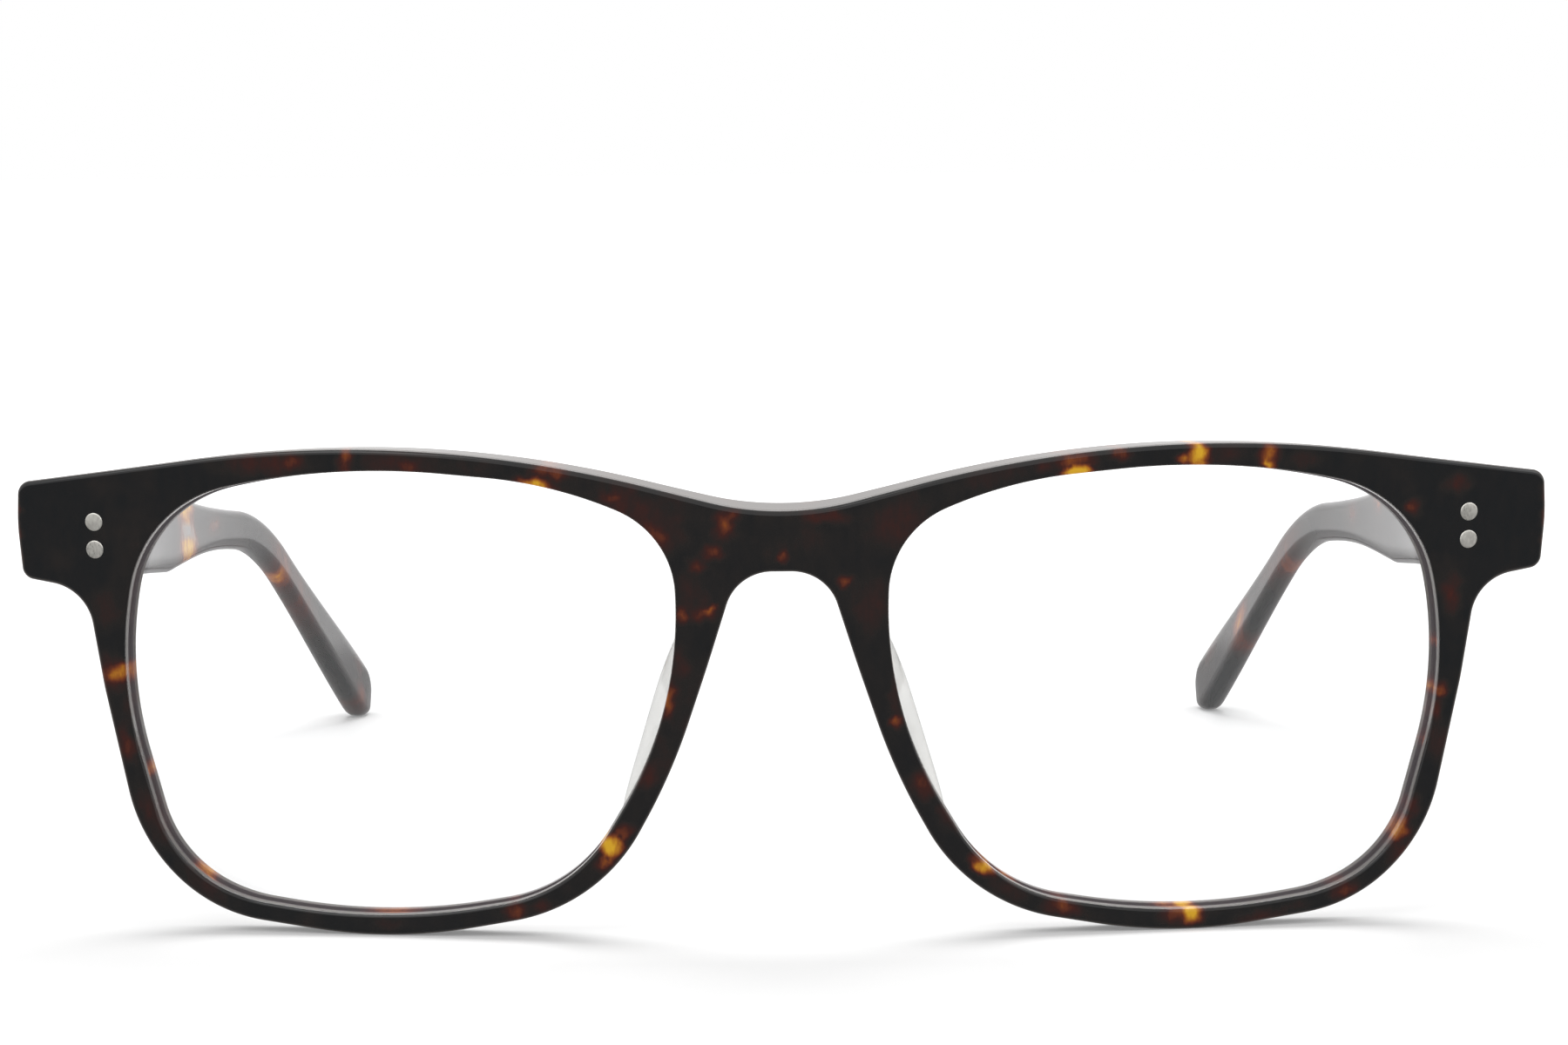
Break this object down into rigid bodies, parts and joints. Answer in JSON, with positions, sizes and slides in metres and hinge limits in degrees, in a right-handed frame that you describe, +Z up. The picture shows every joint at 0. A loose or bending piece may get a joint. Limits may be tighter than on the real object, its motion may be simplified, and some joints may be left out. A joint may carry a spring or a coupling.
{
  "type": "rectangular full rim eyeglasses",
  "caption": "Full rim rectangular eyeglasses with a dark tortoise acetate front, clear lenses, clear glued nose pads, riveted hinges and folding temples with a metal core.",
  "frame": {"origin": "centre of the overall length and width, on the table plane that the rims and the ear tips stand on, temples open", "axes": "+X towards the wearer's left, +Y back from the front to the ear tips, +Z up"},
  "size_m": [0.1424, 0.1426, 0.0458],
  "materials": {
    "tortoise_acetate": "polished dark tortoise cellulose acetate, mottled amber and brown",
    "lens_plastic": "clear coated lens plastic",
    "clear_acetate": "polished crystal clear acetate",
    "hinge_metal": "satin nickel silver",
    "rivet_metal": "nickel silver filed flush with the acetate",
    "core_metal": "drawn nickel silver wire",
    "screw_metal": "turned stainless steel"
  },
  "bodies": {
    "front": {"front_frame": "tortoise_acetate", "lens_left": "lens_plastic", "lens_right": "lens_plastic", "nose_pad_left": "clear_acetate", "nose_pad_right": "clear_acetate", "front_hinge_left": "hinge_metal", "front_hinge_right": "hinge_metal", "front_rivet_left_upper": "rivet_metal", "front_rivet_left_lower": "rivet_metal", "front_rivet_right_upper": "rivet_metal", "front_rivet_right_lower": "rivet_metal", "hinge_screw_left": "screw_metal", "hinge_screw_right": "screw_metal"},
    "left_temple": {"temple_left": "tortoise_acetate", "core_wire_left": "core_metal", "temple_hinge_left": "hinge_metal", "temple_rivet_left_upper": "rivet_metal", "temple_rivet_left_lower": "rivet_metal"},
    "right_temple": {"temple_right": "tortoise_acetate", "core_wire_right": "core_metal", "temple_hinge_right": "hinge_metal", "temple_rivet_right_upper": "rivet_metal", "temple_rivet_right_lower": "rivet_metal"}
  },
  "joints": [
    {"name": "fold_left", "type": "hinge", "parent": "front", "child": "left_temple", "pos_m": [0.0646, -0.05776, 0.0379], "axis": [0, 0, 1], "range_deg": [0, 84]},
    {"name": "fold_right", "type": "hinge", "parent": "front", "child": "right_temple", "pos_m": [-0.0646, -0.05776, 0.0379], "axis": [0, 0, -1], "range_deg": [0, 76]}
  ]
}
